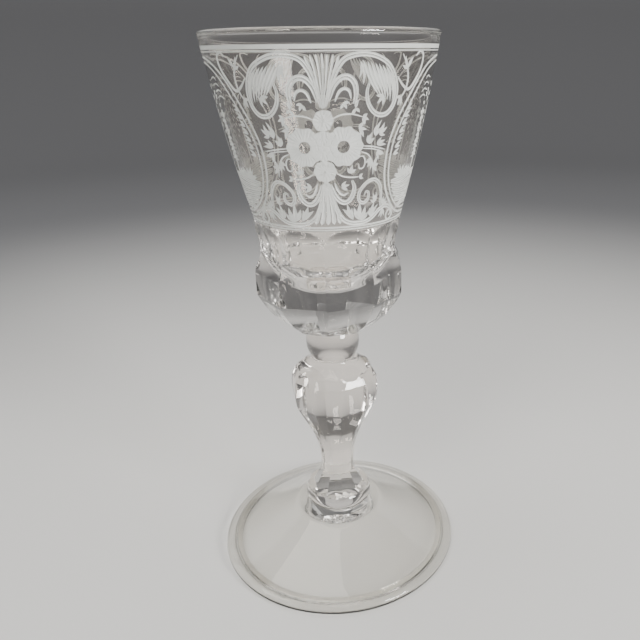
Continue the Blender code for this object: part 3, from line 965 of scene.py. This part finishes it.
def grind_facets(form, line):
    """Grind rows of flat facets from the bulb to the seat, each set by eye and so a little off."""
    for (r0, z0), (r1, z1) in zip(line, line[1:]):
        for panel in range(PANELS):
            aim = BOWL_TURN + (panel + 0.5) * math.tau / PANELS + math.radians(hand.uniform(-1.1, 1.1))
            tilt = math.atan2(r0 - r1, z0 - z1) + math.radians(hand.uniform(-1.3, 1.3))
            normal = Vector((math.cos(tilt) * math.cos(aim), math.cos(tilt) * math.sin(aim),
                             -math.sin(tilt)))
            radius = (r0 + r1) / 2
            point = Vector((radius * math.cos(aim), radius * math.sin(aim), (z0 + z1) / 2))
            point -= normal * hand.uniform(0.04, 0.12) * MM
            faces = [f for f in form.faces if all(v.co.z < bulb_z - 0.5 * MM for v in f.verts)
                     and any((v.co - point).dot(normal) > 0 for v in f.verts)]
            edges = {e for f in faces for e in f.edges}
            verts = {v for f in faces for v in f.verts}
            bmesh.ops.bisect_plane(form, geom=faces + list(edges) + list(verts), dist=1e-7,
                                   plane_co=point, plane_no=normal, clear_outer=True)
            rim_edges = [e for e in form.edges if e.is_boundary
                         and all(abs((v.co - point).dot(normal)) < 1e-6 for v in e.verts)]
            for face in bmesh.ops.holes_fill(form, edges=rim_edges, sides=0)["faces"]:
                face.smooth = False


def make_bowl():
    lip = RIM_WALL / 2
    floor_z = bowl_low.z + FLOOR_RISE
    band_z = rim_z - BAND_TOP
    waist_inside = FLUTE_RADIUS - WAIST_WALL
    inner = arc(0.0, waist_z, waist_inside, waist_z - floor_z, -90, 0, 24)
    inner[0] = (0.0, floor_z)
    inner += [(mix(waist_inside, BORDER_RADIUS - LOW_WALL, i / 8), mix(waist_z, border_z, i / 8))
              for i in range(1, 8)]
    for i in range(25):
        height = mix(border_z, rim_z - RIM_WALL, i / 24)
        rounded = max(0.0, 1 - (rim_z - RIM_WALL - height) / BEAD_HEIGHT)
        wall = mix(LOW_WALL, RIM_WALL, i / 24)
        inner.append((cone_radius(height) - wall - RIM_BEAD * rounded ** 1.5, height))
    top_radius = inner[-1][0]
    inner.append((top_radius + 0.02 * MM, rim_z - RIM_WALL * 0.75))
    bead = (RIM_RADIUS - top_radius) / 2
    rim = arc(RIM_RADIUS - bead, rim_z - lip, bead, lip, 170, 0, 18)
    outer = []
    for i in range(1, 5):
        height = mix(rim_z - lip, band_z, i / 4)
        outer.append((cone_radius(height), height))
    outer.append(None)
    blank = BORDER_RADIUS + BLANK_MARGIN
    outer.append((BORDER_RADIUS, border_z))
    for i in range(1, 38):
        outer.append((blank, mix(border_z, waist_z, i / 38)))
    for i in range(28):
        outer.append((mix(blank, BULB_RADIUS * ARRIS, i / 28), mix(waist_z, bulb_z, i / 28)))
    rows = [(BULB_RADIUS, bowl_low.z + BULB_LOW_RISE)]
    for height_share, radius_share in FACET_ROWS:
        rows.append((mix(BULB_RADIUS, SEAT_FLAT, radius_share),
                     mix(bowl_low.z + BULB_LOW_RISE, bowl_low.z, height_share)))
    outer += [(BULB_RADIUS * ARRIS, mix(bulb_z, rows[0][1], i / 6)) for i in range(7)]
    outer += [((radius + 0.5 * MM) * ARRIS, height - 0.3 * MM) for radius, height in rows]
    outer += [((SEAT_FLAT + 0.5 * MM) * ARRIS, seat_z), (KNOP_TOP, seat_z), (0.0, seat_z)]

    def flat_at(height):
        if height >= waist_z:
            share = (height - waist_z) / (border_z - waist_z)
            return mix(FLUTE_RADIUS, BORDER_RADIUS, share ** 2)
        if height >= bulb_z:
            share = (waist_z - height) / (waist_z - bulb_z)
            return mix(FLUTE_RADIUS, BULB_RADIUS, math.sin(share * math.pi / 2) ** 2)
        return BULB_RADIUS

    def grind(radius, height, angle):
        if not rows[0][1] - 1e-7 < height < border_z - 1e-7 or radius < flat_at(height) - 1e-6:
            return radius
        return min(radius, flat_at(height) / math.cos(panel_angle(angle, BOWL_TURN)))

    def columns_at(radius, height):
        """Columns follow the engraving above the border and the arrises below it."""
        below = min(max((border_z - height) / (1.2 * MM), 0.0), 1.0)
        if radius < flat_at(min(height, border_z)) - 1e-6:
            below = 0.0
        return BOWL_TURN % math.radians(2.0) * below

    form = turned_mesh(inner + rim + outer, ROUND, grind, columns_at)
    for face in form.faces:
        face.smooth = True
    form.normal_update()
    grind_facets(form, rows + [(SEAT_FLAT, bowl_low.z)])
    wrapped = make_band(form)
    form.normal_update()
    joins = [v for v in form.verts if min(abs(v.co.z - border_z), abs(v.co.z - band_z)) < 1e-7]
    doubles = bmesh.ops.find_doubles(form, verts=joins, dist=2e-6)["targetmap"]
    kept_normals = {}
    for vert, normal in wrapped.items():
        kept_normals[tuple(round(c * 1e7) for c in vert.co)] = normal
    bmesh.ops.weld_verts(form, targetmap=doubles)
    bmesh.ops.recalc_face_normals(form, faces=form.faces)
    mark_seams(form, [seat_z], KNOP_TOP, 1)
    mesh = bpy.data.meshes.new("bowl_glass_cut")
    form.to_mesh(mesh)
    form.free()
    for material in (bowl_glass, seam, engraved_matt):
        mesh.materials.append(material)
    mesh.set_sharp_from_angle(angle=math.radians(12.0))
    corner_normals = [Vector(n.vector) for n in mesh.corner_normals]
    for face in mesh.polygons:
        for loop in face.loop_indices:
            vert = mesh.vertices[mesh.loops[loop].vertex_index]
            key = tuple(round(c * 1e7) for c in vert.co)
            if key not in kept_normals:
                continue
            if face.material_index == 2:
                corner_normals[loop] = Vector(face.normal)
            elif len(face.vertices) == 3:
                corner_normals[loop] = kept_normals[key]
    mesh.normals_split_custom_set(corner_normals)
    piece = bpy.data.objects.new("bowl_glass_cut", mesh)
    bpy.context.scene.collection.objects.link(piece)
    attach(piece, "root")
    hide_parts("bowl")


make_bowl()

# ---- Floor and backdrop ------------------------------------------------------------
# A sweep of matt paper, pale where the glass stands; further off its colour is painted darker grey,
# painted shade for the light falling away, and its upper wall is painted to glow though it is no lamp,
# so that the white engraving and the edges of the clear glass can be seen.
FLOOR_DROP = 0.1 * MM           # the paper gives a little under the foot
FLOOR_STEP = 0.05               # m between the rings of the floor
FLOOR_REACH = 0.9
WALL_CURVE = 0.7
WALL_RADIUS = 1.6
WALL_TOP = 1.4


def make_sweep():
    rings = [(0.0, -FLOOR_DROP)]
    rings += [(FLOOR_STEP * i, -FLOOR_DROP) for i in range(1, 19)]
    rings += arc(FLOOR_REACH, WALL_CURVE, WALL_CURVE, WALL_CURVE, -85, 0, 24)
    rings += [(WALL_RADIUS, WALL_TOP)]
    form = turned_mesh(rings, 96)
    mesh = bpy.data.meshes.new("sweep")
    bmesh.ops.recalc_face_normals(form, faces=form.faces)
    bmesh.ops.reverse_faces(form, faces=form.faces)
    form.to_mesh(mesh)
    form.free()
    mesh.shade_smooth()
    sweep = bpy.data.objects.new("sweep", mesh)
    bpy.context.scene.collection.objects.link(sweep)
    material = bpy.data.materials.new("sweep_paper")
    material.use_nodes = True
    nodes = material.node_tree.nodes
    shader = nodes["Principled BSDF"]
    shader.inputs["Roughness"].default_value = 0.9
    shader.inputs["Specular IOR Level"].default_value = 0.1
    place = nodes.new("ShaderNodeTexCoord")
    length = nodes.new("ShaderNodeVectorMath")
    length.operation = "LENGTH"
    wire(place, "Object", length, 0)
    # Painted shade: the paper is pale near the glass and its colour darkens to grey further off, standing in
    # for light falling off.
    painted_falloff = nodes.new("ShaderNodeMapRange")
    painted_falloff.interpolation_type = "SMOOTHSTEP"
    painted_falloff.inputs["From Min"].default_value = 0.1
    painted_falloff.inputs["From Max"].default_value = 0.62
    wire(length, "Value", painted_falloff, "Value")
    shade = nodes.new("ShaderNodeMix")
    shade.data_type = "RGBA"
    shade.inputs[6].default_value = (0.62, 0.61, 0.59, 1.0)
    shade.inputs[7].default_value = (0.17, 0.17, 0.175, 1.0)
    wire(painted_falloff, "Result", shade, 0)
    wire(shade, 2, shader, "Base Color")
    # Painted light: the upper wall of the sweep glows, more strongly higher up, though the paper is no lamp.
    split = nodes.new("ShaderNodeSeparateXYZ")
    wire(place, "Object", split, 0)
    glow = nodes.new("ShaderNodeMapRange")
    glow.interpolation_type = "SMOOTHSTEP"
    glow.inputs["From Min"].default_value = 0.22
    glow.inputs["From Max"].default_value = 1.0
    wire(split, "Z", glow, "Value")
    glow_colour = nodes.new("ShaderNodeMix")
    glow_colour.data_type = "RGBA"
    glow_colour.inputs[6].default_value = (0.0, 0.0, 0.0, 1.0)
    glow_colour.inputs[7].default_value = (0.78, 0.78, 0.77, 1.0)
    wire(glow, "Result", glow_colour, 0)
    wire(glow_colour, 2, shader, "Emission Color")
    shader.inputs["Emission Strength"].default_value = 0.8
    mesh.materials.append(material)


make_sweep()


# ---- Light -------------------------------------------------------------------------
# A soft window to the right of the camera, a broad soft light overhead and another high
# on the left.  Only the window shows in the glass as a bright reflection.
def soft_light(name, place, target, width, height, power, colour, mirrored=True):
    lamp = bpy.data.lights.new(name, "AREA")
    lamp.shape = "RECTANGLE"
    lamp.size = width
    lamp.size_y = height
    lamp.energy = power
    lamp.color = colour
    holder = bpy.data.objects.new(name, lamp)
    holder.location = place
    holder.rotation_euler = (Vector(target) - Vector(place)).to_track_quat("-Z", "Y").to_euler()
    holder.visible_camera = False
    holder.visible_glossy = mirrored
    bpy.context.scene.collection.objects.link(holder)


soft_light("window", (0.64, -0.58, 0.39), (0, 0, 0.12), width=0.3, height=0.22, power=12.0,
           colour=(1.0, 0.99, 0.97))
soft_light("overhead", (-0.2, 0.15, 0.95), (0, 0, 0.05), width=0.7, height=0.7, power=5.0,
           colour=(1.0, 1.0, 1.0), mirrored=False)
soft_light("front_top", (-0.35, -0.65, 0.8), (0, 0, 0.12), width=0.5, height=0.4, power=6.5,
           colour=(1.0, 1.0, 0.99), mirrored=False)

world = bpy.data.worlds.new("studio")
world.use_nodes = True
world.node_tree.nodes["Background"].inputs["Color"].default_value = (0.5, 0.51, 0.53, 1.0)
world.node_tree.nodes["Background"].inputs["Strength"].default_value = 0.35
bpy.context.scene.world = world
cycles = bpy.context.scene.cycles
cycles.max_bounces = 32
cycles.transmission_bounces = 28
cycles.transparent_max_bounces = 32
cycles.glossy_bounces = 8

# ---- Camera ------------------------------------------------------------------------
# It stands close in front of the glass, a little lower than the rim, and looks down
# towards the foot.  Its distances are in foot radii, so that they follow the frame.
foot_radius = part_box("foot")[1].x
CAMERA_HEIGHT = 3.982 * foot_radius
CAMERA_DISTANCE = 4.744 * foot_radius
LENS = 36.68                    # on a 36 mm wide frame
SENSOR_WIDTH = 36.0             # mm
SHIFT_ASIDE = -0.0933           # the glass stands a little off the middle of the frame
SHIFT_UP = 0.0173
NEAREST = 0.01                  # m in front of the lens
PITCH = math.radians(23.257)
YAW = math.radians(4.522)
ROLL = math.radians(-0.502)


def make_camera():
    data = bpy.data.cameras.new("camera")
    data.sensor_width = SENSOR_WIDTH
    data.lens = LENS
    data.shift_x = SHIFT_ASIDE
    data.shift_y = SHIFT_UP
    data.clip_start = NEAREST
    holder = bpy.data.objects.new("camera", data)
    holder.location = (0.0, -CAMERA_DISTANCE, CAMERA_HEIGHT)
    ahead = Vector((math.sin(YAW) * math.cos(PITCH), math.cos(YAW) * math.cos(PITCH), -math.sin(PITCH)))
    aside = Vector((math.cos(YAW), -math.sin(YAW), 0.0))
    above = aside.cross(ahead)
    right = aside * math.cos(ROLL) + above * math.sin(ROLL)
    up = above * math.cos(ROLL) - aside * math.sin(ROLL)
    matrix = holder.matrix_world.copy()
    for row in range(3):
        matrix[row][0], matrix[row][1], matrix[row][2] = right[row], up[row], -ahead[row]
    matrix.translation = Vector(holder.location)
    holder.matrix_world = matrix
    bpy.context.scene.collection.objects.link(holder)
    bpy.context.scene.camera = holder


make_camera()
